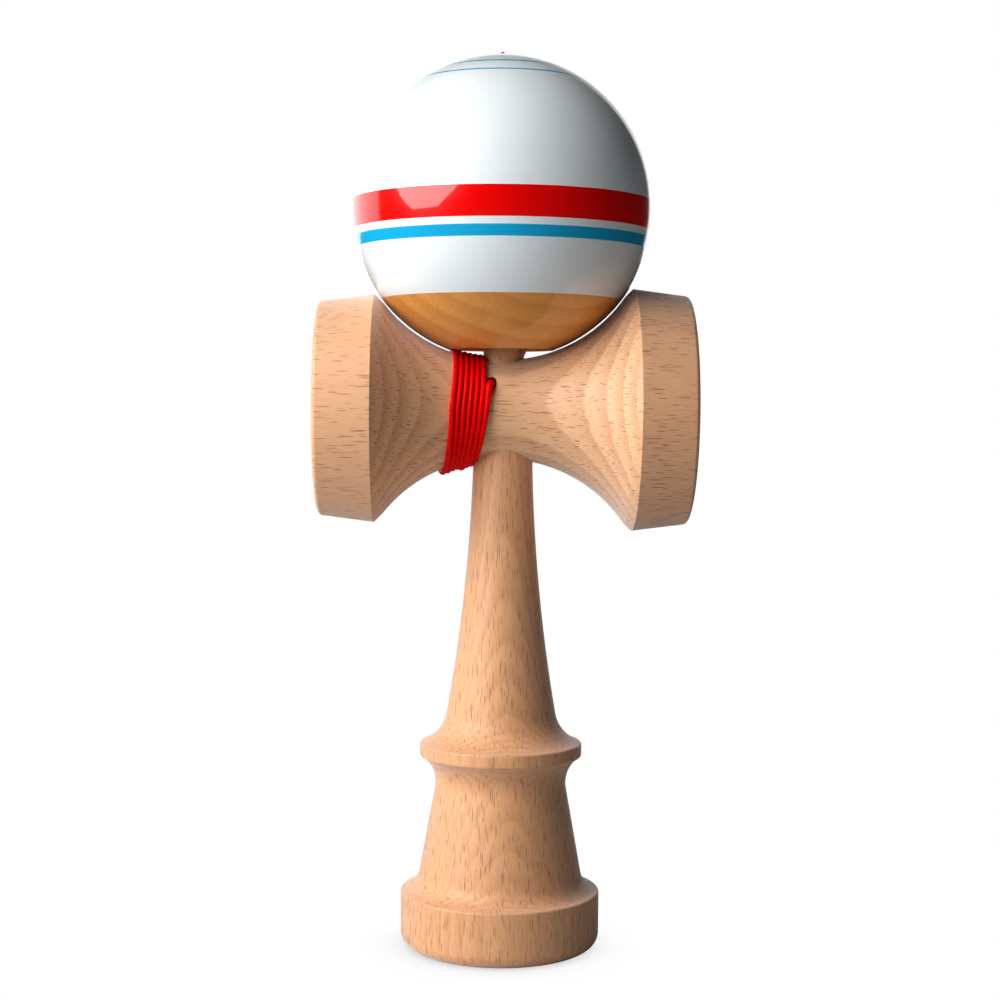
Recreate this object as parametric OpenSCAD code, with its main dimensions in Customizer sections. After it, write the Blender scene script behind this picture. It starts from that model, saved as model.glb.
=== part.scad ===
// Kendama: a turned handle with a spike, a cross-piece with two cups, and a ball tied on with a string.
// Millimetres. +Z up, origin on the floor under the handle's axis. The cups lie along X, the big one at +X.

/* [Handle] */
// Diameter of the foot
foot_d = 40.7; // [38:0.1:44]
// Height of the foot, up to its top edge
foot_h = 11.5; // [9:0.1:14]
// Radius of the foot's rounded lower edge
foot_round = 3; // [2:0.1:3.4]
// Width of the flat rim between the foot's cup and its rounded edge
foot_rim_w = 1.35; // [1:0.05:4]
// Depth of the cup in the foot
foot_cup_depth = 6; // [5:0.1:9]
// Radius of the cove between the foot and the body
cove_r = 4.2; // [3.5:0.1:5]
// Height of the body, from the foot's top edge to the waist
body_h = 22.2; // [18:0.1:26]
// Slope of the body's side, in degrees from upright
body_taper = 10.2; // [8:0.1:12]
// Diameter of the waist under the collar
waist_d = 26.7; // [25:0.1:28]
// Radius of the waist's hollow
waist_curve_r = 6.8; // [6:0.1:8]
// Diameter of the collar
collar_d = 33.1; // [31:0.1:35]
// Thickness of the collar at its edge
collar_h = 2.9; // [2:0.1:4]
// Radius of the flare between the collar and the grip
flare_r = 7.8; // [6.5:0.1:9]
// Diameter of the grip where the flare ends
grip_d = 22.3; // [20:0.1:24]
// Length of the grip, from the flare to the cross-piece
grip_h = 52.05; // [44:0.1:60]
// Radius of the grip's long hollow curve
grip_curve_r = 340; // [250:5:500]
// Rounding of the foot's top edge and of the collar's edges
edge_round = 0.5; // [0.3:0.1:0.8]
// Diameter of the tapered seat where it enters the cross-piece
seat_d = 12.1; // [11:0.1:13]
// Diameter of the spike where it leaves the cross-piece
spike_d = 8.3; // [7.5:0.1:9]
// Diameter of the spike just under its rounded tip
spike_tip_d = 5.6; // [4.4:0.1:7]
// Length of the spike above the cross-piece
spike_h = 32.6; // [28:0.1:33]
// Rounding of the spike's tip
tip_round = 2; // [1:0.1:2.2]

/* [Cross-piece] */
// Length of the cross-piece, rim to rim
cross_l = 75; // [70:0.5:82]
// Diameter of the neck at its thinnest
neck_d = 20.2; // [18:0.1:23]
// Widest diameter of the big cup
big_cup_d = 49.2; // [46:0.1:50]
// Outer diameter of the big cup's rim
big_rim_d = 46.6; // [45:0.1:48]
// Depth of the big cup
big_cup_depth = 10.5; // [9:0.1:12]
// Radius of the hollow that sweeps from the neck to the big cup
big_flare_r = 30.1; // [29:0.1:36]
// Widest diameter of the small cup
small_cup_d = 46.2; // [44:0.1:48]
// Outer diameter of the small cup's rim
small_rim_d = 43.6; // [42:0.1:45]
// Depth of the small cup
small_cup_depth = 9; // [8:0.1:11]
// Radius of the hollow that sweeps from the neck to the small cup
small_flare_r = 29.2; // [27:0.1:38]
// Length of the straight neck between the handle's axis and the small cup's hollow
small_neck_l = 1.4; // [0:0.1:4]
// Width of the bevel on the ball's side of both cups' widest edges
ridge_bevel = 0.5; // [0.3:0.1:0.8]
// Width of the flat wall of both rims
rim_w = 2.2; // [1.8:0.1:3]
// Rounding of the rims' outer corners
rim_round = 1; // [0.5:0.1:1.5]
// Gap between the seat and the bore that it wedges into
seat_fit = 0.02; // [0:0.01:0.05]

/* [Ball] */
// Diameter of the ball
ball_d = 61.2; // [58:0.1:64]
// How far the ball lies over towards the small cup
ball_over = 0.5; // [0:0.1:0.8]
// Diameter of the spike hole
hole_d = 20.5; // [19:0.1:22]
// Room between the spike's tip and the knot above it
tip_room = 2.8; // [2:0.1:4]
// Width of the bevel round the spike hole's mouth
hole_bevel = 0.5; // [0.3:0.05:1.5]
// Diameter of the string hole
string_hole_d = 4.4; // [4:0.1:5]
// Thickness of the coloured lacquer
coat_t = 0.3; // [0.1:0.05:0.4]
// Gap between the ball and what it rests on
ball_gap = 0.15; // [0.1:0.05:0.6]

/* [Stripes] */
// Height of the red stripe's top edge above the ball's middle
red_top = 1.2; // [-2:0.1:4]
// Height of the red stripe
red_h = 5.9; // [4:0.1:8]
// Height of the white line between the red and the blue stripe
white_line_h = 1.4; // [0.8:0.1:3]
// Height of the blue stripe
blue_h = 2.2; // [1:0.1:4]
// Height of the white band under the blue stripe
white_band_h = 10.2; // [7:0.1:11]
// Height of the lower thin ring above the ball's middle
pinstripe_low = 24.8; // [22:0.1:26]
// Height of the upper thin ring above the ball's middle
pinstripe_high = 27.1; // [26:0.1:28.4]
// Height of each thin ring's line
pinstripe_h = 0.3; // [0.2:0.05:0.6]

/* [Bead and string] */
// Diameter of the bead
bead_d = 8; // [7:0.1:9]
// Height of the bead between its flat ends
bead_h = 6.6; // [5.5:0.1:7]
// Gap above the bead, and between the string and the bead's hole
bead_gap = 0.15; // [0.1:0.05:0.3]
// Diameter of the string
cord_d = 1.1; // [0.9:0.05:1.2]
// Diameter of the knots
knot_d = 3.8; // [3:0.1:4]
// Height of the knots
knot_h = 2.2; // [1.8:0.1:2.6]
// Diameter of the string hole in the cross-piece and the handle
cord_hole_d = 2.4; // [2:0.1:3.2]
// Width of the countersink round the string hole on the cross-piece
cord_hole_bevel = 0.5; // [0.3:0.1:1.4]
// Height of the string hole above the cross-piece's axis
cord_hole_up = 5.2; // [3:0.1:6]
// Turn of the string hole away from straight ahead, in degrees
cord_hole_turn = 18; // [0:1:20]
// Gap round the knot in its pocket
pocket_gap = 0.3; // [0.2:0.05:0.5]

/* [Winding] */
// Full turns of string round the neck
turns = 6; // [3:1:7]
// Distance from one turn to the next along the neck
pitch = 1.11; // [1.04:0.01:1.2]
// Diameter of the wound string, pulled thin so that its turns stay apart
wound_d = 0.5; // [0.4:0.01:0.62]
// Place of the winding along the neck
wind_x = -5.3; // [-6:0.1:-5.2]
// How far the winding leans towards the spike in front
lean_front = 1.9; // [0:0.1:2.4]
// How far the winding leans away from the grip below
lean_below = 1.2; // [0.8:0.1:1.6]
// How much nearer to each other the turns lie below, against the grip
gather_below = 0.2; // [0:0.01:0.25]
// Gap between the string's turns and the neck
wind_gap = 0.12; // [0.05:0.01:0.3]

/* [Hidden] */
$fn = 96;

beech = [0.83, 0.66, 0.50];
amber = [0.80, 0.55, 0.28];
lacquer_white = [0.95, 0.95, 0.95];
lacquer_red = [0.87, 0.10, 0.07];
lacquer_blue = [0.10, 0.55, 0.80];
string_red = [0.90, 0.05, 0.06];

// Overlap that cutting shapes have past the faces that they cut
over = 1;

// Run of the bevels' outlines, from the cups' widest edges well into the hollows
bevel_run = 4;

// Steps of an arc in an outline: a small edge, a rounded end and a long curve
edge_steps = 4;
round_steps = 8;
curve_steps = 16;

// Sides of the lacquer's rings, enough for coats this thin
coat_sides = 240;

// Handle, from the floor up: each height builds on the one below it
foot_r = foot_d / 2;
foot_cup_r = foot_r - foot_round - foot_rim_w;
waist_z = foot_h + body_h;
waist_c = [waist_d / 2 + waist_curve_r, waist_z];
body_top = waist_c - waist_curve_r * [cos(body_taper), sin(body_taper)];
cove_z = foot_h + cove_r;
cove_c = [body_top[0] + (body_top[1] - cove_z) * tan(body_taper) + cove_r / cos(body_taper), cove_z];
cove_reach = min(0, foot_r - edge_round - cove_c[0]);
foot_top = cove_z - sqrt(pow(cove_r, 2) - pow(cove_reach, 2));
collar_edge = collar_d / 2 - edge_round;
collar_reach = min(0, collar_edge - waist_c[0]);
collar_z = waist_z + sqrt(pow(waist_curve_r, 2) - pow(collar_reach, 2));
collar_top = collar_z + collar_h;
grip_chord = norm([grip_d / 2 - seat_d / 2, grip_h]);
grip_half_turn = asin(grip_chord / 2 / grip_curve_r);
grip_lean = atan((grip_d / 2 - seat_d / 2) / grip_h);
flare_lean = grip_lean + grip_half_turn;
flare_x = grip_d / 2 + flare_r * cos(flare_lean);
flare_reach = max(0, flare_x - collar_edge);
flare_c = [flare_x, collar_top + sqrt(pow(flare_r, 2) - pow(flare_reach, 2))];
grip_start = flare_c - flare_r * [cos(flare_lean), sin(flare_lean)];
grip_c = grip_start + grip_curve_r * [cos(flare_lean), sin(flare_lean)];
seat_z = grip_start[1] + grip_h;
neck_r = neck_d / 2;
cross_z = seat_z + neck_r;
spike_z = cross_z + neck_r;
tip_z = spike_z + spike_h;

// Cross-piece: where each flare would reach its cup's widest diameter without the bevel there
cross_half = cross_l / 2;
big_edge_x = flare_reach_x(big_flare_r, big_cup_d / 2);
small_edge_x = small_neck_l + flare_reach_x(small_flare_r, small_cup_d / 2);

// Ball: it comes down over the spike until it lies its gap above the cross-piece
ball_r = ball_d / 2;
core_r = ball_r - coat_t;
mouth_r = hole_d / 2 + hole_bevel;
mouth_drop = sqrt(pow(ball_r, 2) - pow(mouth_r, 2));
rest_steps = 24;
big_mouth_x = mouth_r - ball_over;
small_mouth_x = mouth_r + ball_over;
rest_xs = [for (i = [0 : rest_steps]) big_mouth_x + (big_edge_x - big_mouth_x) * i / rest_steps];
small_rest_xs = [for (i = [0 : rest_steps]) -small_mouth_x - (small_edge_x - small_mouth_x) * i / rest_steps];
ball_z = cross_z + max([for (x = concat(rest_xs, small_rest_xs)) rest_height(x)]);
blue_top = red_top - red_h - white_line_h;
paint_bottom = blue_top - blue_h - white_band_h;

// Bead and string ends: they stack up from the spike's tip to the end of the spike hole
knot_top_z = tip_z + tip_room + knot_h;
bead_top_z = knot_top_z + bead_h;
hole_end_z = bead_top_z + bead_gap;
cord_r = cord_d / 2;
cord_hole_z = cross_z + cord_hole_up;
cord_hole_depth = sqrt(pow(neck_r, 2) - pow(cord_hole_up, 2)) / cos(cord_hole_turn);
pocket_floor = seat_at(cord_hole_z) - knot_h - pocket_gap;

// Rings and sides of the string's solids
wind_step = 15;
wound_sides = 6;
cord_sides = 8;
route_steps = 2;

// The winding runs down the front, under, up the back and over the top, from the string hole to the small cup
// It starts at this angle, just above the front, and goes on this far past its full turns
wind_from = -15;
wind_past = 96;
// Turn in which the wound string settles from the thicker string's height down to its own, at both ends
wind_settle = 90;
wind_to = 360 * turns + wind_past;
wind_turns = [for (a = [wind_from : wind_step : wind_to]) wind_point(a)];
wind_last = len(wind_turns) - 1;
wind_start_dir = unit(wind_turns[1] - wind_turns[0]);
wind_end_dir = unit(wind_turns[wind_last] - wind_turns[wind_last - 1]);
wind_start = wind_turns[0] - wound_d * wind_start_dir;
wind_end = wind_turns[wind_last] + wound_d * wind_end_dir;
wind_path = concat([wind_start], wind_turns, [wind_end]);

// Points of the string from its knot, out of the cross-piece and down to the winding
anchor_start = [pocket_floor * sin(cord_hole_turn), pocket_floor * cos(cord_hole_turn), cord_hole_z];
anchor_points = [
  [0, 0, 115.3], [-0.6, -1.9, 115.3], [-1.5, -4.6, 115.3], [-2.1, -6.5, 115.3],
  [-2.6, -8, 115.3], [-2.8, -8.9, 115.2]
];

// Points of the string over the winding, behind the spike, up the back of the ball and into its top
riser_points = [
  [-13.1, 6.7, 98.6], [-13.6, 9.6, 100.5], [-13.7, 11.9, 103.3], [-13.1, 13.9, 106.4], [-11.7, 14.5, 109.6],
  [-9.6, 13.7, 112.2], [-6.6, 12.4, 114.6], [-3.2, 10.9, 116.3], [-0.4, 10, 117.8], [2, 10.2, 119.3],
  [3.5, 11.2, 120.6], [4.6, 13.4, 122.6], [6, 17.5, 125.3], [7.5, 22, 129.3], [9, 25.5, 134.3],
  [10, 28, 139.8], [10.5, 29.5, 145.3], [10.5, 30, 151.3], [10.5, 29.5, 157.3], [10, 27.6, 163.3],
  [9, 24.6, 168.8], [7.5, 21.1, 173.4], [6, 16.6, 177.4], [3.2, 11.6, 180.1], [0.9, 6.6, 181.7],
  [-0.4, 3.2, 182.2], [-0.6, 1.1, 181.9], [-0.5, 0, 181], [-0.5, 0, 180], [-0.5, 0, 179]
];
riser_end_z = riser_points[len(riser_points) - 1][2];

anchor_path = smooth_route(concat(
  [anchor_start],
  anchor_points,
  [wind_start - cord_d * wind_start_dir, wind_start]
));
riser_path = smooth_route(concat([wind_end, wind_end + cord_d * wind_end_dir], riser_points));

// Least gap of the winding to itself, from ring to ring more than a third of a turn apart
wind_apart = 8;
wind_gaps = [
  for (i = [0 : wind_last], j = [i + wind_apart : 1 : wind_last])
    norm(wind_turns[i] - wind_turns[j]) - wound_d
];
echo(winding_least_gap = min(wind_gaps), winding_turns = turns);

// Points along an arc round a centre, from one angle to another
function arc_points(c, r, from, to, steps) =
  [for (i = [0 : steps]) let (a = from + (to - from) * i / steps) c + r * [cos(a), sin(a)]];

function unit(v) = v / norm(v);

// Radius of the cross-piece's waist at a place along it
function neck_at(x) =
  let (r = x < 0 ? small_flare_r : big_flare_r, run = x < 0 ? max(0, -x - small_neck_l) : x)
  neck_r + r - sqrt(pow(r, 2) - pow(run, 2));

// Run of a flare from the neck to where it reaches a radius
function flare_reach_x(r, reach) = sqrt(pow(r, 2) - pow(neck_r + r - reach, 2));

// Height of the ball's middle above the cross-piece's axis at which it just clears the waist at a place
function rest_height(x) = neck_at(x) + sqrt(pow(ball_r + ball_gap, 2) - pow(x + ball_over, 2));

// Radius of the tapered seat at a height
function seat_at(z) = (seat_d + (spike_d - seat_d) * (z - seat_z) / neck_d) / 2;

// Height of the wound string's middle above the neck at an angle
function wind_lift(a) =
  let (settled = min(1, (a - wind_from) / wind_settle, (wind_to - a) / wind_settle))
  wind_gap + cord_r + (wound_d / 2 - cord_r) * settled;

// Middle of the wound string at an angle, counted from the front and downwards
function wind_point(a) =
  let (
    turned = a / 360,
    x = wind_x - pitch * turned + lean_front * cos(a) - lean_below * sin(a)
      + gather_below * turned * max(0, sin(a)),
    r = neck_at(x) + wind_lift(a)
  )
  [x, -r * cos(a), cross_z - r * sin(a)];

// A smooth curve through a route's points
function smooth_route(p) =
  let (n = len(p) - 1)
  concat(
    [for (i = [0 : n - 1], k = [0 : route_steps - 1])
      route_point(p[max(i - 1, 0)], p[i], p[i + 1], p[min(i + 2, n)], k / route_steps)],
    [p[n]]
  );

function route_point(a, b, c, d, t) =
  b + (c - a) * t / 2 + (2 * a - 5 * b + 4 * c - d) * pow(t, 2) / 2 + (3 * b - a - 3 * c + d) * pow(t, 3) / 2;

function route_dir(p, i) = unit(p[min(i + 1, len(p) - 1)] - p[max(i - 1, 0)]);

// A tube along a path, with flat ends
module tube(path, r, sides) {
  n = len(path);
  rings = [
    for (i = [0 : n - 1])
      let (along = route_dir(path, i), side = unit(cross(along, [1, 0, 0])), up = cross(side, along))
      for (k = [0 : sides - 1])
        path[i] + r * (cos(360 * k / sides) * side + sin(360 * k / sides) * up)
  ];
  walls = [
    for (i = [0 : n - 2], k = [0 : sides - 1])
      let (a = i * sides + k, b = i * sides + (k + 1) % sides)
      each [[a, b, b + sides], [a, b + sides, a + sides]]
  ];
  first_end = [for (k = [1 : sides - 2]) [0, k + 1, k]];
  last_ring = (n - 1) * sides;
  last_end = [for (k = [1 : sides - 2]) [last_ring, last_ring + k, last_ring + k + 1]];
  polyhedron(points = rings, faces = concat(walls, first_end, last_end));
}

// Half of a ball's section between two heights
module ball_section(r, low, high) {
  intersection() {
    circle(r);
    translate([0, low]) square([r + over, high - low]);
  }
}

// A coat of lacquer round the ball between two heights
module coat(low, high) {
  $fn = coat_sides;
  translate([-ball_over, 0, ball_z]) rotate_extrude() difference() {
    ball_section(ball_r, low, high);
    circle(core_r);
  }
}

// Points along the string hole, with its axis turned away from the front
module along_cord_hole() {
  translate([0, 0, cord_hole_z]) rotate([0, 0, -cord_hole_turn]) rotate([90, 0, 0]) children();
}

// A cup's hollow, of a mouth radius and a depth, opening towards +Z
module cup_hollow(mouth, depth) {
  r = (pow(mouth, 2) + pow(depth, 2)) / 2 / depth;
  translate([0, 0, r - depth]) sphere(r);
}

// A knot, standing on its flat end
module knot() {
  lobe_r = knot_h / 4;
  rotate_extrude() {
    square([knot_d / 2 - lobe_r, knot_h]);
    for (z = [lobe_r, knot_h - lobe_r]) translate([knot_d / 2 - lobe_r, z]) circle(lobe_r);
  }
}

module ken_outline() {
  tip_c = [spike_tip_d / 2 - tip_round, tip_z - tip_round];
  polygon(concat(
    [[0, 0]],
    arc_points([foot_r - foot_round, foot_round], foot_round, -90, 0, round_steps),
    arc_points([foot_r - edge_round, foot_top - edge_round], edge_round, 0, 90, edge_steps),
    arc_points(cove_c, cove_r, 270 - asin(-cove_reach / cove_r), 180 + body_taper, round_steps),
    arc_points(
      waist_c, waist_curve_r, 180 + body_taper, 90 + asin(-collar_reach / waist_curve_r), curve_steps
    ),
    arc_points([collar_edge, collar_z + edge_round], edge_round, -90, 0, edge_steps),
    arc_points([collar_edge, collar_top - edge_round], edge_round, 0, 90, edge_steps),
    arc_points(flare_c, flare_r, 270 - asin(flare_reach / flare_r), 180 + flare_lean, curve_steps),
    arc_points(
      grip_c, grip_curve_r, 180 + flare_lean, 180 + flare_lean - 2 * grip_half_turn, curve_steps
    ),
    [[spike_d / 2, spike_z]],
    arc_points(tip_c, tip_round, 0, 90, round_steps),
    [[0, tip_z]]
  ));
}

module ken_handle() {
  color(beech) difference() {
    rotate_extrude() ken_outline();
    mirror([0, 0, 1]) cup_hollow(foot_cup_r, foot_cup_depth);
    along_cord_hole() cylinder(h = seat_d + 2 * over, d = cord_hole_d, center = true);
    along_cord_hole() translate([0, 0, -pocket_floor - seat_d])
      cylinder(h = seat_d, d = knot_d + 2 * pocket_gap);
  }
}

// Outline of half a cup: the bevel up to its widest edge and the band to its rim, closed to the axis
module cup_band(edge_x, edge_r, rim_r) {
  ridge = [edge_r, edge_x + ridge_bevel];
  bevel_start = ridge - bevel_run * [1, 1];
  polygon(concat(
    [[0, 0], [bevel_start[0], 0], bevel_start, ridge],
    arc_points([rim_r - rim_round, cross_half - rim_round], rim_round, 0, 90, round_steps),
    [[0, cross_half]]
  ));
}

// One half of the cross-piece's section: a straight neck, then the hollow up to the cup's edge
module cross_half_section(edge_x, edge_r, rim_r, waist_r, neck_l) {
  difference() {
    cup_band(edge_x, edge_r, rim_r);
    translate([neck_r + waist_r, neck_l]) circle(waist_r);
    if (neck_l > 0) translate([neck_r, -over]) square([waist_r, neck_l + over]);
  }
}

module cup_crosspiece() {
  color(beech) translate([0, 0, cross_z]) difference() {
    rotate([0, 90, 0]) difference() {
      rotate_extrude() {
        cross_half_section(big_edge_x, big_cup_d / 2, big_rim_d / 2, big_flare_r, 0);
        mirror([0, 1])
          cross_half_section(small_edge_x, small_cup_d / 2, small_rim_d / 2, small_flare_r, small_neck_l);
      }
      translate([0, 0, cross_half]) cup_hollow(big_rim_d / 2 - rim_w, big_cup_depth);
      translate([0, 0, -cross_half]) mirror([0, 0, 1]) cup_hollow(small_rim_d / 2 - rim_w, small_cup_depth);
    }
    translate([0, 0, -neck_d]) cylinder(
      h = 2 * neck_d,
      r1 = seat_at(cross_z - neck_d) + seat_fit,
      r2 = seat_at(cross_z + neck_d) + seat_fit
    );
    translate([0, 0, -cross_z]) along_cord_hole() cylinder(h = neck_d, d = cord_hole_d);
    translate([0, 0, -cross_z]) along_cord_hole()
      translate([0, 0, cord_hole_depth - cord_hole_bevel - over]) cylinder(
        h = cord_hole_bevel + 2 * over,
        d1 = cord_hole_d - 2 * over,
        d2 = cord_hole_d + 2 * cord_hole_bevel + 2 * over
      );
  }
}

module ball_core() {
  color(amber) translate([-ball_over, 0, ball_z]) difference() {
    sphere(ball_r);
    rotate_extrude() difference() {
      ball_section(ball_r + over, paint_bottom, ball_r + over);
      circle(core_r);
    }
    translate([0, 0, -ball_r]) cylinder(h = ball_r + hole_end_z - ball_z, d = hole_d);
    translate([0, 0, -mouth_drop - over]) cylinder(
      h = 2 * over + hole_bevel,
      r1 = mouth_r + over,
      r2 = hole_d / 2 - over
    );
    cylinder(h = ball_r + over, d = string_hole_d);
  }
}

module white_lacquer() {
  color(lacquer_white) difference() {
    union() {
      coat(red_top, pinstripe_low);
      coat(pinstripe_low + pinstripe_h, pinstripe_high);
      coat(pinstripe_high + pinstripe_h, ball_r + over);
      coat(blue_top, red_top - red_h);
      coat(paint_bottom, blue_top - blue_h);
    }
    translate([-ball_over, 0, ball_z]) cylinder(h = ball_r + over, d = string_hole_d);
  }
}

module red_stripe() {
  color(lacquer_red) coat(red_top - red_h, red_top);
}

module blue_stripe() {
  color(lacquer_blue) coat(blue_top - blue_h, blue_top);
}

module blue_pinstripes() {
  color(lacquer_blue) for (h = [pinstripe_low, pinstripe_high]) coat(h, h + pinstripe_h);
}

module swivel_bead() {
  hole_r = cord_r + bead_gap;
  color(beech) translate([-ball_over, 0, bead_top_z - bead_h / 2]) rotate_extrude() intersection() {
    circle(bead_d / 2);
    translate([hole_r, -bead_h / 2]) square([bead_d, bead_h]);
  }
}

module string_end_knot() {
  color(string_red) translate([-ball_over, 0, knot_top_z - knot_h]) knot();
}

module string_in_ball() {
  color(string_red) translate([-ball_over, 0, knot_top_z])
    cylinder(h = riser_end_z - knot_top_z, d = cord_d);
}

module string_riser() {
  color(string_red) tube(riser_path, cord_r, cord_sides);
}

module string_winding() {
  color(string_red) tube(wind_path, wound_d / 2, wound_sides);
}

module string_anchor() {
  color(string_red) tube(anchor_path, cord_r, cord_sides);
}

module string_anchor_knot() {
  color(string_red) along_cord_hole() translate([0, 0, -pocket_floor - knot_h]) knot();
}

ken_handle();
cup_crosspiece();
ball_core();
white_lacquer();
red_stripe();
blue_stripe();
blue_pinstripes();
swivel_bead();
string_end_knot();
string_in_ball();
string_riser();
string_winding();
string_anchor();
string_anchor_knot();
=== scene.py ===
"""Looks of a kendama: turned beech, a lacquered ball and a red string wound round the waist.

Metres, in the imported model's frame: +Z up, the handle's axis on Z, the cups along X.
"""

import math

import bpy
import numpy as np
from mathutils import Matrix, Vector


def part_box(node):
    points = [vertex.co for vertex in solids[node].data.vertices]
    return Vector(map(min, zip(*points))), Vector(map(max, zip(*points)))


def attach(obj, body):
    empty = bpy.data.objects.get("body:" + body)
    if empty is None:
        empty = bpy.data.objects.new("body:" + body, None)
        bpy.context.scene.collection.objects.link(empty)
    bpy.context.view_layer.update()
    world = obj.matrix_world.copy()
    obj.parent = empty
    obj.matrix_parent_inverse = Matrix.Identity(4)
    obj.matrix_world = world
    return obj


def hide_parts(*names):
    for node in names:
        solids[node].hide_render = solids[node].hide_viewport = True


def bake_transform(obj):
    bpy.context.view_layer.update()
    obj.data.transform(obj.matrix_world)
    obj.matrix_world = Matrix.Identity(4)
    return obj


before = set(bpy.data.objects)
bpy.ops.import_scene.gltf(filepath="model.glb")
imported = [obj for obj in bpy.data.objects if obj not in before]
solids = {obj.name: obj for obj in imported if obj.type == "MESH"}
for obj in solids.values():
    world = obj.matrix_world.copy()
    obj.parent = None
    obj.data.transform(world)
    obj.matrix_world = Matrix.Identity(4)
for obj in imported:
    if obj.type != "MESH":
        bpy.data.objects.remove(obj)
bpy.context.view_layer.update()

MM = 0.001
WHITE = (1, 1, 1, 1)


def middle_of(node):
    """Middle of a CAD node's box."""
    low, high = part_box(node)
    return (low + high) / 2


def add_object(name, data):
    """A new object in the scene, of a mesh or a camera."""
    added = bpy.data.objects.new(name, data)
    bpy.context.scene.collection.objects.link(added)
    return added


# Camera: where the photograph was taken from
CAMERA_AT = Vector((-8.4, -379.9, 108.6)) * MM
CAMERA_TURN = math.radians(-1.19)
CAMERA_TILT = math.radians(87.44)
CAMERA_ROLL = math.radians(0.41)
CAMERA_NEAR = 10 * MM
FOCAL_PX = 1861
PHOTO_PX = 1000
SENSOR_MM = 36


def make_camera():
    data = bpy.data.cameras.new("photo_camera")
    data.sensor_width = SENSOR_MM
    data.lens = SENSOR_MM * FOCAL_PX / PHOTO_PX
    data.clip_start = CAMERA_NEAR
    camera = add_object("photo_camera", data)
    camera.matrix_world = (
        Matrix.Translation(CAMERA_AT)
        @ Matrix.Rotation(CAMERA_TURN, 4, "Z")
        @ Matrix.Rotation(CAMERA_TILT, 4, "X")
        @ Matrix.Rotation(CAMERA_ROLL, 4, "Z")
    )
    bpy.context.scene.camera = camera


make_camera()


# Shader tools
def srgb(red, green, blue):
    """A colour given as a screen shows it, 0 to 255, as the shader's linear colour."""
    linear = [
        c / 12.92 if c <= 0.04045 else ((c + 0.055) / 1.055) ** 2.4
        for c in (red / 255, green / 255, blue / 255)
    ]
    return (*linear, 1.0)


def add_node(tree, kind, sockets=None, **settings):
    """A shader node with its settings, and its sockets linked or set."""
    node = tree.nodes.new("ShaderNode" + kind)
    for name, value in settings.items():
        setattr(node, name, value)
    for key, value in (sockets or {}).items():
        if isinstance(value, bpy.types.NodeSocket):
            tree.links.new(value, node.inputs[key])
        else:
            node.inputs[key].default_value = value
    return node


def maths(tree, operation, *values):
    return add_node(tree, "Math", dict(enumerate(values)), operation=operation).outputs[0]


def scaled(tree, vector, factors):
    return add_node(
        tree, "VectorMath", {0: vector, 1: factors}, operation="MULTIPLY"
    ).outputs[0]


def ramp(tree, value, low, high, to_low=0.0, to_high=1.0):
    """A smooth step of a value from low to high."""
    sockets = {
        "Value": value,
        "From Min": low,
        "From Max": high,
        "To Min": to_low,
        "To Max": to_high,
    }
    return add_node(
        tree, "MapRange", sockets, interpolation_type="SMOOTHSTEP"
    ).outputs["Result"]


def noise(tree, vector, detail=2.0):
    return add_node(
        tree, "TexNoise", {"Vector": vector, "Scale": 1.0, "Detail": detail}
    ).outputs["Fac"]


# Sockets of the Mix node when it mixes colours
MIX_FACTOR, COLOR_A, COLOR_B, COLOR_RESULT = 0, 6, 7, 2


def mixed(tree, mask, first, second):
    """The first colour where the mask is 0, and the second where it is 1."""
    return add_node(
        tree, "Mix", {MIX_FACTOR: mask, COLOR_A: first, COLOR_B: second}, data_type="RGBA"
    ).outputs[COLOR_RESULT]


def new_group(name, inputs):
    """An empty shader node group, and its named inputs."""
    tree = bpy.data.node_groups.new(name, "ShaderNodeTree")
    for socket, kind in inputs.items():
        tree.interface.new_socket(socket, in_out="INPUT", socket_type=kind)
    return tree, tree.nodes.new("NodeGroupInput").outputs


def put_out(group, masks):
    """Gives a node group its named outputs."""
    for name in masks:
        group.interface.new_socket(name, in_out="OUTPUT", socket_type="NodeSocketFloat")
    end = group.nodes.new("NodeGroupOutput")
    for name, mask in masks.items():
        group.links.new(mask, end.inputs[name])


def place_group(tree, group, sockets):
    """Outputs of a node group that is placed in a material."""
    return add_node(tree, "Group", sockets, node_tree=group).outputs


def new_material(name, **constants):
    """A material with its Principled shader, whose constants are set on its own sockets."""
    material = bpy.data.materials.new(name)
    material.use_nodes = True
    tree = material.node_tree
    shader = tree.nodes["Principled BSDF"]
    for socket, value in constants.items():
        shader.inputs[socket.replace("_", " ")].default_value = value
    return material, tree, shader


def object_point(tree):
    return add_node(tree, "TexCoord").outputs["Object"]


def add_roughness(tree, shader, mask, base, change):
    """Roughness from its base where the mask is 0, changed where it is 1."""
    rough = maths(tree, "MULTIPLY_ADD", mask, change, base)
    tree.links.new(rough, shader.inputs["Roughness"])


def add_bump(tree, shader, height, depth):
    bump = add_node(tree, "Bump", {"Height": height, "Distance": depth})
    tree.links.new(bump.outputs["Normal"], shader.inputs["Normal"])


# Wood: growth rings round a pith, ray flecks and fine streaks.
# Points are in millimetres: x across the grain, y outwards from the pith, z along the grain.
WOBBLE_SCALE = (0.06, 0.06, 0.012)
RIPPLE_SCALE = (0.5, 0.5, 0.07)
RIPPLE_SHARE = 0.35
LATE_WOOD_RISE = (0.1, 0.93)
LATE_WOOD_FALL = (1.0, 0.86)
PLAIN_END_EDGE = (-1.5, 0.5)
NO_PLAIN_ENDS = 1000.0
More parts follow.
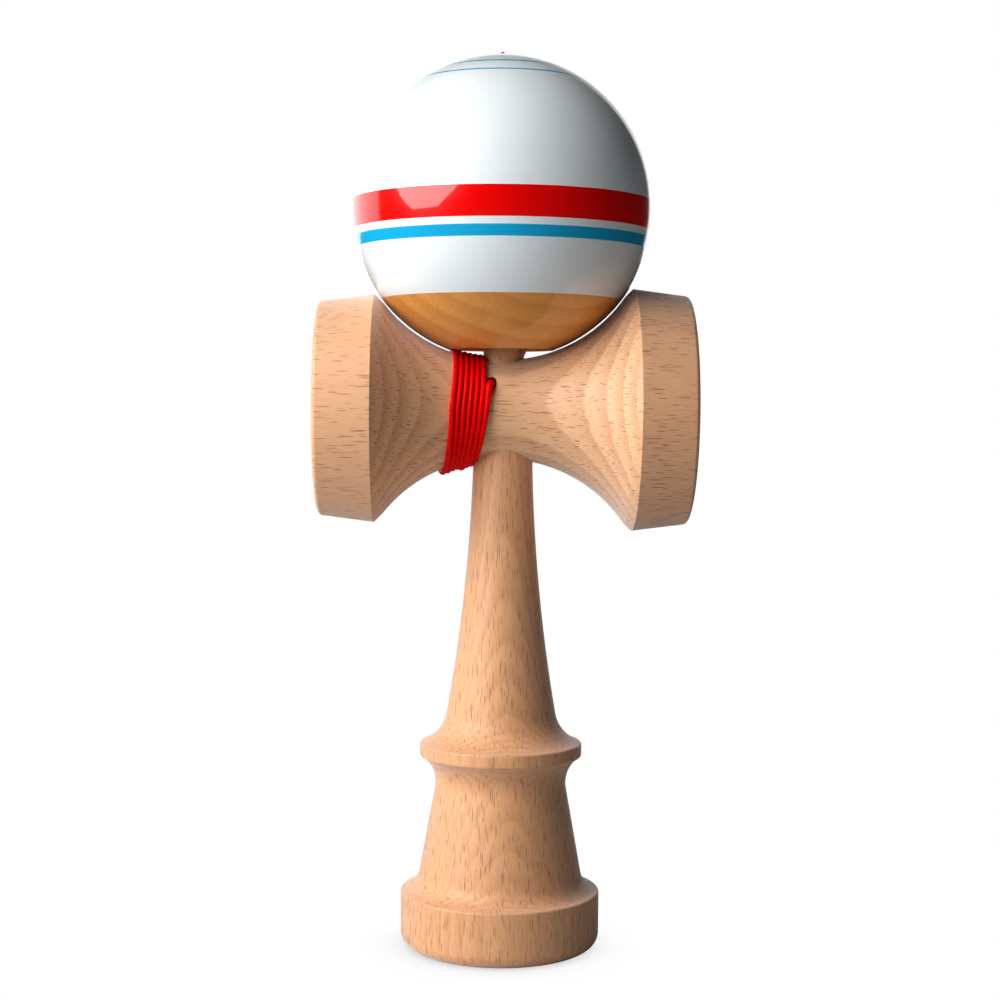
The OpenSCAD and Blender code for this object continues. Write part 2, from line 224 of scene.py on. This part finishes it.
# Short and long flecks: the cells to a millimetre, and how far a fleck fills its cell
FLECK_KINDS = (
    ((1 / 0.25, 1 / 1.5, 1 / 4.4), 0.31),
    ((1 / 0.34, 1 / 2.2, 1 / 8.5), 0.27),
)
FLECK_SHADES = (0.05, 0.9)
STREAK_SCALE = (5.5, 1.8, 0.28)
STREAK_DETAIL = 3.0
STREAK_EDGE = (0.35, 0.72)
CLOUD_SCALE = (0.05, 0.05, 0.016)
CLOUD_DETAIL = 1.0
CLOUD_EDGE = (0.3, 0.7)


def late_wood(group, place, inputs):
    """Mask of the darker late wood in each ring."""
    point = inputs["Point"]
    across = maths(group, "ADD", place["X"], inputs["Pith Below"])
    outwards = maths(group, "SUBTRACT", place["Y"], inputs["Pith Behind"])
    distance = maths(
        group,
        "SQRT",
        maths(
            group,
            "ADD",
            maths(group, "MULTIPLY", across, across),
            maths(group, "MULTIPLY", outwards, outwards),
        ),
    )
    wobble = maths(group, "SUBTRACT", noise(group, scaled(group, point, WOBBLE_SCALE)), 0.5)
    ripple = maths(group, "SUBTRACT", noise(group, scaled(group, point, RIPPLE_SCALE)), 0.5)
    wander = maths(group, "MULTIPLY_ADD", ripple, RIPPLE_SHARE, wobble)
    grown = maths(
        group, "SUBTRACT", maths(group, "ADD", distance, wander), inputs["First Ring"]
    )
    age = maths(group, "FRACT", maths(group, "DIVIDE", grown, inputs["Ring Width"]))
    return maths(
        group,
        "MULTIPLY",
        ramp(group, age, *LATE_WOOD_RISE),
        ramp(group, age, *LATE_WOOD_FALL),
    )


def ray_flecks(group, point, cell, thick):
    """Mask of one kind of fleck, some darker than others."""
    cells = add_node(
        group, "TexVoronoi", {"Vector": scaled(group, point, cell), "Scale": 1.0}
    )
    shade = add_node(group, "SeparateColor", {0: cells.outputs["Color"]}).outputs[0]
    return maths(
        group,
        "MULTIPLY",
        ramp(group, cells.outputs["Distance"], thick, thick / 2),
        ramp(group, shade, *FLECK_SHADES),
    )


def make_wood_figure():
    group, inputs = new_group(
        "wood_figure",
        {
            "Point": "NodeSocketVector",
            "Pith Behind": "NodeSocketFloat",
            "Pith Below": "NodeSocketFloat",
            "First Ring": "NodeSocketFloat",
            "Ring Width": "NodeSocketFloat",
            "Plain Ends": "NodeSocketFloat",
        },
    )
    point = inputs["Point"]
    place = add_node(group, "SeparateXYZ", {0: point}).outputs
    from_middle = maths(group, "ABSOLUTE", place["Z"])
    past_end = maths(group, "SUBTRACT", from_middle, inputs["Plain Ends"])
    flecks = [ray_flecks(group, point, cell, thick) for cell, thick in FLECK_KINDS]
    streaks = noise(group, scaled(group, point, STREAK_SCALE), STREAK_DETAIL)
    clouds = noise(group, scaled(group, point, CLOUD_SCALE), CLOUD_DETAIL)
    put_out(
        group,
        {
            "Rings": late_wood(group, place, inputs),
            "Ends": ramp(group, past_end, *PLAIN_END_EDGE),
            "Flecks": maths(group, "MAXIMUM", *flecks),
            "Streaks": ramp(group, streaks, *STREAK_EDGE),
            "Clouds": ramp(group, clouds, *CLOUD_EDGE),
        },
    )
    return group


WOOD_FIGURE = make_wood_figure()
UPRIGHT = (0, 0, 0)
ORIGIN = (0, 0, 0)


def wood_point(tree, turn, offset):
    """The surface's own point in millimetres from an offset, with the grain turned along z."""
    scale = 1 / MM
    mapping = add_node(
        tree,
        "Mapping",
        {
            "Vector": object_point(tree),
            "Location": [-scale * c for c in offset],
            "Rotation": turn,
            "Scale": (scale,) * 3,
        },
    )
    return mapping.outputs["Vector"]


def pith_at(behind, below, first_ring, ring_width):
    """Where the middle of the tree was, and the rings round it, in millimetres."""
    return {
        "Pith Behind": behind,
        "Pith Below": below,
        "First Ring": first_ring,
        "Ring Width": ring_width,
    }


def wood_figure(tree, pith, turn, offset, plain_ends=NO_PLAIN_ENDS):
    """Masks of a piece's wood: its rings, plain ends, flecks, streaks and clouds."""
    sockets = {"Point": wood_point(tree, turn, offset), "Plain Ends": plain_ends, **pith}
    return place_group(tree, WOOD_FIGURE, sockets)


END_SHARE = 0.85
CLOUD_SHARE = 0.35
STREAK_SHARE = 0.34


def wood_color(tree, figure, colors, rings, flecks):
    """Colour of a wood: early and late wood, plain ends, clouds, streaks and flecks."""
    early, late, warm, fleck = colors
    color = early
    for mask, share, over in (
        ("Rings", rings, late),
        ("Ends", END_SHARE, warm),
        ("Clouds", CLOUD_SHARE, warm),
        ("Streaks", STREAK_SHARE, late),
        ("Flecks", flecks, fleck),
    ):
        color = mixed(tree, maths(tree, "MULTIPLY", figure[mask], share), color, over)
    return color


# Colours of each wood: early wood, late wood, the warmer parts and the flecks
HANDLE_COLORS = (
    srgb(230, 169, 117), srgb(196, 134, 86), srgb(217, 153, 102), srgb(126, 62, 24),
)
CROSS_COLORS = (
    srgb(240, 191, 144), srgb(209, 147, 99), srgb(227, 168, 121), srgb(126, 62, 24),
)
AMBER_COLORS = (
    srgb(232, 163, 84), srgb(188, 115, 48), srgb(211, 138, 63), srgb(138, 78, 30),
)
BEECH_ROUGH, BEECH_STREAK_ROUGH = 0.5, 0.12
GRAIN_DEPTH = 0.03 * MM
STREAK_RELIEF = -0.4


def make_beech(
    name, colors, pith, rings, flecks, turn=UPRIGHT, offset=ORIGIN, plain_ends=NO_PLAIN_ENDS
):
    """Bare, finely sanded beech."""
    material, tree, shader = new_material(name, Specular_IOR_Level=0.7, Sheen_Weight=0.6)
    figure = wood_figure(tree, pith, turn, offset, plain_ends)
    color = wood_color(tree, figure, colors, rings, flecks)
    tree.links.new(color, shader.inputs["Base Color"])
    add_roughness(tree, shader, figure["Streaks"], BEECH_ROUGH, BEECH_STREAK_ROUGH)
    hollow = maths(tree, "MULTIPLY_ADD", figure["Streaks"], STREAK_RELIEF, figure["Flecks"])
    add_bump(tree, shader, maths(tree, "MULTIPLY", hollow, -1.0), GRAIN_DEPTH)
    return material


# Lacquer: a gloss skin with a faint orange-peel surface
PEEL_SCALE = (700, 700, 700)
PEEL_DEPTH = 0.004 * MM
SMUDGE_SCALE = (60, 60, 60)
SMUDGE_EDGE = (0.35, 0.7)
DEEP_SHARE = 0.5
LACQUER_ROUGH, SMUDGE_ROUGH = 0.2, 0.06
LACQUER_GLOSS = {"Coat_Weight": 1.0, "Coat_Roughness": 0.02, "Coat_IOR": 1.44}


def make_lacquer_skin():
    group, inputs = new_group("lacquer_skin", {"Point": "NodeSocketVector"})
    point = inputs["Point"]
    smudge = noise(group, scaled(group, point, SMUDGE_SCALE))
    put_out(
        group,
        {
            "Peel": noise(group, scaled(group, point, PEEL_SCALE)),
            "Smudge": ramp(group, smudge, *SMUDGE_EDGE),
        },
    )
    return group


LACQUER_SKIN = make_lacquer_skin()


def make_lacquer(name, color, deep):
    """Gloss lacquer of a colour that is a little deeper where the coat is thicker."""
    material, tree, shader = new_material(name, Specular_IOR_Level=0.15, **LACQUER_GLOSS)
    skin = place_group(tree, LACQUER_SKIN, {"Point": object_point(tree)})
    tone = mixed(tree, maths(tree, "MULTIPLY", skin["Smudge"], DEEP_SHARE), color, deep)
    tree.links.new(tone, shader.inputs["Base Color"])
    add_roughness(tree, shader, skin["Smudge"], LACQUER_ROUGH, SMUDGE_ROUGH)
    add_bump(tree, shader, skin["Peel"], PEEL_DEPTH)
    return material


AMBER_ROUGH, AMBER_STREAK_ROUGH = 0.35, 0.1


def make_amber_wood(name, pith, rings, flecks, turn):
    """Wood under a clear gloss coat that has turned it golden."""
    material, tree, shader = new_material(name, Specular_IOR_Level=0.2, **LACQUER_GLOSS)
    figure = wood_figure(tree, pith, turn, ORIGIN)
    color = wood_color(tree, figure, AMBER_COLORS, rings, flecks)
    tree.links.new(color, shader.inputs["Base Color"])
    add_roughness(tree, shader, figure["Streaks"], AMBER_ROUGH, AMBER_STREAK_ROUGH)
    skin = place_group(tree, LACQUER_SKIN, {"Point": object_point(tree)})
    add_bump(tree, shader, skin["Peel"], PEEL_DEPTH)
    return material


# String: a braid of plaits that cross in two directions
PLAITS = 4
# Painted shade and painted highlight: the one red of the cord is darker in the braid's grooves and
# lighter on its crests
STRING_GROOVE_SHADE = srgb(220, 0, 0)
STRING_CREST_HIGHLIGHT = srgb(248, 2, 1)
STRING_ROUGH, PLAIT_ROUGH = 0.5, -0.12
PLAIT_DEPTH = 0.05 * MM


def make_braid():
    group, inputs = new_group(
        "braid", {"UV": "NodeSocketVector", "Plaits": "NodeSocketFloat"}
    )
    place = add_node(group, "SeparateXYZ", {0: inputs["UV"]}).outputs
    round_it = maths(group, "MULTIPLY", place["X"], inputs["Plaits"])
    waves = []
    for way in ("ADD", "SUBTRACT"):
        turn = maths(group, "MULTIPLY", maths(group, way, round_it, place["Y"]), math.tau)
        waves.append(maths(group, "COSINE", turn))
    crossed = maths(group, "MULTIPLY", *waves)
    put_out(group, {"Relief": maths(group, "MULTIPLY_ADD", crossed, 0.5, 0.5)})
    return group


BRAID = make_braid()


def make_string_red(name):
    material, tree, shader = new_material(name, Specular_IOR_Level=0.06)
    uv = add_node(tree, "UVMap", uv_map="braid").outputs["UV"]
    relief = place_group(tree, BRAID, {"UV": uv, "Plaits": PLAITS})["Relief"]
    # painted shade in the grooves and painted highlight on the crests, following the braid's
    # relief
    color = mixed(tree, relief, STRING_GROOVE_SHADE, STRING_CREST_HIGHLIGHT)
    tree.links.new(color, shader.inputs["Base Color"])
    add_roughness(tree, shader, relief, STRING_ROUGH, PLAIT_ROUGH)
    add_bump(tree, shader, relief, PLAIT_DEPTH)
    return material


# The finish of each piece that keeps its CAD shape
CROSS_AXIS = middle_of("cup_crosspiece")
STRING_RED = make_string_red("red_string")
FINISHES = {
    "ken_handle": make_beech(
        "beech_handle",
        HANDLE_COLORS,
        pith_at(behind=90.0, below=6.0, first_ring=101.2, ring_width=1.1),
        rings=0.42,
        flecks=0.88,
    ),
    "cup_crosspiece": make_beech(
        "beech_crosspiece",
        CROSS_COLORS,
        pith_at(behind=92.8, below=9.5, first_ring=104.86, ring_width=3.0),
        rings=0.78,
        flecks=0.92,
        turn=(0, math.pi / 2, 0),
        offset=(CROSS_AXIS.z, 0, 0),
        plain_ends=26.0,
    ),
    "ball_core": make_amber_wood(
        "amber_ball_wood",
        pith_at(behind=60.0, below=10.0, first_ring=40.0, ring_width=5.0),
        rings=0.4,
        flecks=0.15,
        turn=(0.5, 0.6, 0),
    ),
    "white_lacquer": make_lacquer("white_lacquer", srgb(232, 239, 241), srgb(227, 235, 238)),
    "red_stripe": make_lacquer("red_lacquer", srgb(236, 3, 2), srgb(226, 2, 2)),
    "blue_stripe": make_lacquer("blue_lacquer", srgb(2, 164, 214), srgb(2, 156, 207)),
    "swivel_bead": make_beech(
        "bead_wood",
        HANDLE_COLORS,
        pith_at(behind=20.0, below=4.0, first_ring=10.0, ring_width=1.2),
        rings=0.4,
        flecks=0.4,
    ),
}
FINISHES["blue_pinstripes"] = FINISHES["blue_stripe"]
for solid_name, finish in FINISHES.items():
    solids[solid_name].material_slots[0].material = finish


# String: from its knot in the handle, round the waist, up the ball's back and down to the bead
CORD_R = 0.55 * MM
# Inside the handle the string fills its hole, and then thins to its own size
HOLE_CORD_R = 0.72 * MM
THIN_FROM = 12 * MM
THIN_OVER = 8 * MM
# The waist of the cross-piece, between its two flares
NECK_R = 10.1 * MM
BIG_FLARE_R = 30.1 * MM
SMALL_FLARE_R = 29.2 * MM
SMALL_NECK = 1.4 * MM
# The winding, with its angles in degrees from the front and downwards
TURNS = 6
WIND_FROM = -15
WIND_PAST = 96
WIND_STEP = 7.5
PITCH = 1.145 * MM
WIND_X = -5.1 * MM
WIND_GAP = 0.08 * MM
LEAN_FRONT = 1.6 * MM
LEAN_BELOW = 1.2 * MM
GATHER_BELOW = 0.2 * MM
GATHER_ABOVE = 0.06 * MM
# How far each turn hangs loose below, where the turns crowd against the grip
SAG_BELOW = [0.0, 0.1 * MM, 0.4 * MM, 0.0, 0.05 * MM, 0.15 * MM, 0.1 * MM]
# How far the turns are pressed down above, where the ball sits close over them
PRESS_ABOVE = 0.3 * MM
ANCHOR_ROUTE = [
    (0.0, 0.0, 0.1153), (-0.0006, -0.0019, 0.1153), (-0.0015, -0.0046, 0.1153),
    (-0.0021, -0.0065, 0.1153), (-0.0026, -0.008, 0.1153), (-0.0028, -0.0089, 0.1152),
    (-0.00295, -0.0099, 0.11455),
]
RISER_ROUTE = [
    (-0.0131, 0.0067, 0.0986), (-0.0136, 0.0096, 0.1005), (-0.0137, 0.0119, 0.1033),
    (-0.0131, 0.0139, 0.1064), (-0.0117, 0.0145, 0.1096), (-0.0096, 0.0137, 0.1122),
    (-0.0066, 0.0124, 0.1146), (-0.0032, 0.0109, 0.1163), (-0.0004, 0.01, 0.1178),
    (0.002, 0.0102, 0.1193), (0.0035, 0.0112, 0.1206), (0.0046, 0.0134, 0.1226),
    (0.006, 0.0175, 0.1253), (0.0075, 0.022, 0.1293), (0.009, 0.0255, 0.1343),
    (0.01, 0.028, 0.1398), (0.0105, 0.0295, 0.1453), (0.0105, 0.03, 0.1513),
    (0.0105, 0.0295, 0.1573), (0.01, 0.0276, 0.1633), (0.009, 0.0246, 0.1688),
    (0.0075, 0.0211, 0.1734), (0.006, 0.0166, 0.1774), (0.0032, 0.0116, 0.1801),
    (0.0009, 0.0066, 0.1817), (-0.0004, 0.0032, 0.1822), (-0.0006, 0.0011, 0.1819),
    (-0.0005, 0.0, 0.181), (-0.0005, 0.0, 0.18), (-0.0005, 0.0, 0.179),
]
IN_BALL_POINTS = 5
HOLE_TURN = math.radians(18)
# The braided tube
CURVE_STEPS = 24
RING_STEP = 0.3 * MM
STRING_SIDES = 16
BRAID_LAY = 1.7 * MM
BRAID_RELIEF = 0.05
# The knots: the share of the loop that the string runs, and half the knot's height
KNOT_RUN = (0.06, 0.94)
KNOT_POINTS = 90
KNOT_HALF_HEIGHT = 1.1 * MM


def neck_radius(x):
    """Radius of the cross-piece's waist at a distance along it from the handle's axis."""
    flare, run = (SMALL_FLARE_R, max(0, -x - SMALL_NECK)) if x < 0 else (BIG_FLARE_R, x)
    return NECK_R + flare - math.sqrt(flare**2 - run**2)


def winding_point(degrees):
    """Middle of the wound string at an angle."""
    a = math.radians(degrees)
    turned = degrees / 360
    below = max(0, math.sin(a))
    above = max(0, -math.sin(a))
    x = (
        WIND_X
        - PITCH * turned
        + LEAN_FRONT * math.cos(a)
        - LEAN_BELOW * math.sin(a)
        + GATHER_BELOW * turned * below
        + GATHER_ABOVE * turned * above**2
    )
    sag = SAG_BELOW[max(0, math.floor(turned))] * below**6
    r = neck_radius(x) + CORD_R + WIND_GAP + sag - PRESS_ABOVE * above
    return (x, -r * math.cos(a), CROSS_AXIS.z - r * math.sin(a))


def smooth_line(points):
    """Evenly spaced points on a smooth curve through a route, and their places along it."""
    p = np.array(points, float)
    h = np.linalg.norm(np.diff(p, axis=0), axis=1)
    slope = np.diff(p, axis=0) / h[:, None]
    tangent = np.vstack([
        slope[:1],
        (slope[:-1] * h[1:, None] + slope[1:] * h[:-1, None]) / (h[:-1] + h[1:])[:, None],
        slope[-1:],
    ])
    t = np.linspace(0, 1, CURVE_STEPS, endpoint=False)[:, None]
    fine = [
        (2 * t**3 - 3 * t**2 + 1) * p[i]
        + (t**3 - 2 * t**2 + t) * length * tangent[i]
        + (3 * t**2 - 2 * t**3) * p[i + 1]
        + (t**3 - t**2) * length * tangent[i + 1]
        for i, length in enumerate(h)
    ]
    fine = np.vstack([*fine, p[-1:]])
    along = np.concatenate([[0], np.cumsum(np.linalg.norm(np.diff(fine, axis=0), axis=1))])
    places = np.linspace(0, along[-1], round(along[-1] / RING_STEP) + 1)
    return np.stack([np.interp(places, along, fine[:, k]) for k in range(3)], 1), places


def braided_tube(name, line, places, radii):
    """A closed tube of braided string along a line.

    Its UV map holds turns round the string and lays of the braid along it.
    """
    count = len(line)
    ahead = np.gradient(line, axis=0)
    ahead /= np.linalg.norm(ahead, axis=1)[:, None]
    side = np.empty_like(line)
    first = np.cross(ahead[0], (1, 0, 0) if abs(ahead[0][0]) < 0.9 else (0, 1, 0))
    side[0] = first / np.linalg.norm(first)
    for i in range(1, count):
        carried = side[i - 1] - ahead[i] * (side[i - 1] @ ahead[i])
        side[i] = carried / np.linalg.norm(carried)
    up = np.cross(ahead, side)
    turn = np.arange(STRING_SIDES) / STRING_SIDES
    lays = places / BRAID_LAY
    waves = [
        np.cos(math.tau * (PLAITS * turn[None, :] + way * lays[:, None])) for way in (1, -1)
    ]
    r = radii[:, None] * (1 + BRAID_RELIEF * waves[0] * waves[1])
    rings = (
        line[:, None, :]
        + (r * np.cos(math.tau * turn))[:, :, None] * side[:, None, :]
        + (r * np.sin(math.tau * turn))[:, :, None] * up[:, None, :]
    )
    faces, uvs = [], []
    for i in range(count - 1):
        for k in range(STRING_SIDES):
            a, b = i * STRING_SIDES + k, i * STRING_SIDES + (k + 1) % STRING_SIDES
            faces.append((a, b, b + STRING_SIDES, a + STRING_SIDES))
            u0, u1 = k / STRING_SIDES, (k + 1) / STRING_SIDES
            uvs += [(u0, lays[i]), (u1, lays[i]), (u1, lays[i + 1]), (u0, lays[i + 1])]
    last = (count - 1) * STRING_SIDES
    for cap, lay in (
        (range(STRING_SIDES - 1, -1, -1), lays[0]),
        (range(last, last + STRING_SIDES), lays[-1]),
    ):
        faces.append(tuple(cap))
        uvs += [(0.0, lay)] * STRING_SIDES
    mesh = bpy.data.meshes.new(name)
    mesh.from_pydata(rings.reshape(-1, 3).tolist(), [], faces)
    layer = mesh.uv_layers.new(name="braid")
    layer.data.foreach_set("uv", np.array(uvs, np.float32).ravel())
    mesh.polygons.foreach_set("use_smooth", [True] * len(mesh.polygons))
    mesh.materials.append(STRING_RED)
    piece = add_object(name, mesh)
    return piece


def make_string():
    """The one string, from its knot in the handle round the waist and up into the ball to its own
    end.
    """
    anchor_start = tuple(middle_of("string_anchor_knot"))
    wind_to = 360 * TURNS + WIND_PAST
    winding = [winding_point(a) for a in np.arange(WIND_FROM, wind_to, WIND_STEP)]
    hole_x, hole_y, hole_z = RISER_ROUTE[-1]
    knot_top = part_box("string_end_knot")[1].z
    heights = np.linspace(hole_z, knot_top, IN_BALL_POINTS + 1)[1:]
    in_ball = [(hole_x, hole_y, z) for z in heights]
    line, places = smooth_line(
        [anchor_start, *ANCHOR_ROUTE, *winding, *RISER_ROUTE, *in_ball]
    )
    thinned = np.clip((places - THIN_FROM) / THIN_OVER, 0, 1)
    radii = HOLE_CORD_R + (CORD_R - HOLE_CORD_R) * thinned
    string = braided_tube("string", line, places, radii)
    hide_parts("string_anchor", "string_winding", "string_riser", "string_in_ball")
    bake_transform(string)


def make_knot(name, node, body, axis):
    """A tight overhand knot in the place of its CAD solid."""
    low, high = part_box(node)
    reach = sorted(high - low)[1] / 2 - CORD_R
    t = np.linspace(*KNOT_RUN, KNOT_POINTS) * math.tau
    knot = np.stack([
        (2 + np.cos(3 * t)) * np.cos(2 * t) * reach / 3,
        (2 + np.cos(3 * t)) * np.sin(2 * t) * reach / 3,
        np.sin(3 * t) * (KNOT_HALF_HEIGHT - CORD_R),
    ], 1)
    turn = np.array(Vector(axis).to_track_quat("Z", "Y").to_matrix())
    line, places = smooth_line(knot @ turn.T + np.array((low + high) / 2))
    piece = braided_tube(name, line, places, np.full(len(line), CORD_R))
    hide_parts(node)
    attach(piece, body)


HOLE_AXIS = (math.sin(HOLE_TURN), math.cos(HOLE_TURN), 0)
make_string()
make_knot("end_knot", "string_end_knot", "string_end", (0, 0, 1))
make_knot("anchor_knot", "string_anchor_knot", "handle", HOLE_AXIS)


# Stage: a pale floor, a white room behind, and one big eight-sided softbox at the front left
FLOOR_HALF = 3.0
FLOOR_TONE = (0.53, 0.53, 0.53, 1)
FLOOR_IN_GLOSS = (0.08, 0.08, 0.08, 1)
# The soft shade on the floor close to the foot
SHADE_REACH = 25 * MM
SHADE_EDGE = (0.0, 0.9)
SHADE_TONES = (0.7, 1.0)
SOFTBOX_AZIMUTH = math.radians(60)
SOFTBOX_HEIGHT = math.radians(27)
SOFTBOX_AWAY = 0.8
SOFTBOX_HALF = 0.42
SOFTBOX_SIDES = 8
SOFTBOX_GLOW = 6.7
# The bright part of the room behind: the way to it across the floor, its edge and its top
BACK_WAY = (-0.342, 0.94)
BACK_EDGE = (0.57, 0.63)
BACK_TOP = (0.65, 0.15)
BACK_GLOW = 1.7
DIM_GLOW = 0.01


def emptied(owner):
    """The empty node tree of a stage material or of the room."""
    owner.use_nodes = True
    owner.node_tree.nodes.clear()
    return owner.node_tree


def lit_for_camera(tree, seen, lighting):
    """What the camera sees directly, and what lights the object."""
    seen_by = add_node(tree, "LightPath").outputs["Is Camera Ray"]
    return add_node(
        tree, "MixShader", {0: seen_by, 1: lighting, 2: seen}
    ).outputs["Shader"]


def make_floor():
    h = FLOOR_HALF
    mesh = bpy.data.meshes.new("floor")
    mesh.from_pydata([(-h, -h, 0), (h, -h, 0), (h, h, 0), (-h, h, 0)], [], [(0, 1, 2, 3)])
    add_object("floor", mesh)
    material = bpy.data.materials.new("pale_floor")
    tree = emptied(material)
    near = add_node(tree, "AmbientOcclusion", {"Distance": SHADE_REACH}).outputs["AO"]
    bright = ramp(tree, near, *SHADE_EDGE, *SHADE_TONES)
    seen = add_node(tree, "Emission", {"Color": WHITE, "Strength": bright}).outputs[0]
    mirrored = add_node(tree, "LightPath").outputs["Is Glossy Ray"]
    tone = mixed(tree, mirrored, FLOOR_TONE, FLOOR_IN_GLOSS)
    plain = add_node(tree, "BsdfDiffuse", {"Color": tone}).outputs[0]
    add_node(tree, "OutputMaterial", {"Surface": lit_for_camera(tree, seen, plain)})
    mesh.materials.append(material)


def make_room():
    world = bpy.data.worlds.new("white_room")
    tree = emptied(world)
    way = add_node(
        tree, "SeparateXYZ", {0: add_node(tree, "TexCoord").outputs["Generated"]}
    ).outputs
    behind = maths(
        tree,
        "ADD",
        maths(tree, "MULTIPLY", way["X"], BACK_WAY[0]),
        maths(tree, "MULTIPLY", way["Y"], BACK_WAY[1]),
    )
    low_behind = maths(
        tree,
        "MULTIPLY",
        ramp(tree, behind, *BACK_EDGE),
        ramp(tree, way["Z"], *BACK_TOP),
    )
    strength = maths(tree, "MULTIPLY_ADD", low_behind, BACK_GLOW - DIM_GLOW, DIM_GLOW)
    lighting = add_node(tree, "Background", {"Color": WHITE, "Strength": strength}).outputs[0]
    seen = add_node(tree, "Background", {"Color": WHITE, "Strength": 1.0}).outputs[0]
    add_node(tree, "OutputWorld", {"Surface": lit_for_camera(tree, seen, lighting)})
    bpy.context.scene.world = world


def make_softbox():
    way = Vector((
        -math.sin(SOFTBOX_AZIMUTH) * math.cos(SOFTBOX_HEIGHT),
        -math.cos(SOFTBOX_AZIMUTH) * math.cos(SOFTBOX_HEIGHT),
        math.sin(SOFTBOX_HEIGHT),
    ))
    corner_r = SOFTBOX_HALF / math.cos(math.pi / SOFTBOX_SIDES)
    turns = [math.tau * (k + 0.5) / SOFTBOX_SIDES for k in range(SOFTBOX_SIDES)]
    corners = [(corner_r * math.cos(t), corner_r * math.sin(t), 0) for t in turns]
    mesh = bpy.data.meshes.new("softbox")
    mesh.from_pydata(corners, [], [tuple(range(SOFTBOX_SIDES))])
    softbox = add_object("softbox", mesh)
    softbox.location = CROSS_AXIS + way * SOFTBOX_AWAY
    softbox.rotation_euler = way.to_track_quat("Z", "Y").to_euler()
    softbox.visible_camera = False
    material = bpy.data.materials.new("softbox_cloth")
    tree = emptied(material)
    glow = add_node(tree, "Emission", {"Color": WHITE, "Strength": SOFTBOX_GLOW})
    add_node(tree, "OutputMaterial", {"Surface": glow.outputs[0]})
    mesh.materials.append(material)


make_floor()
make_room()
make_softbox()
bpy.context.scene.view_settings.view_transform = "Standard"
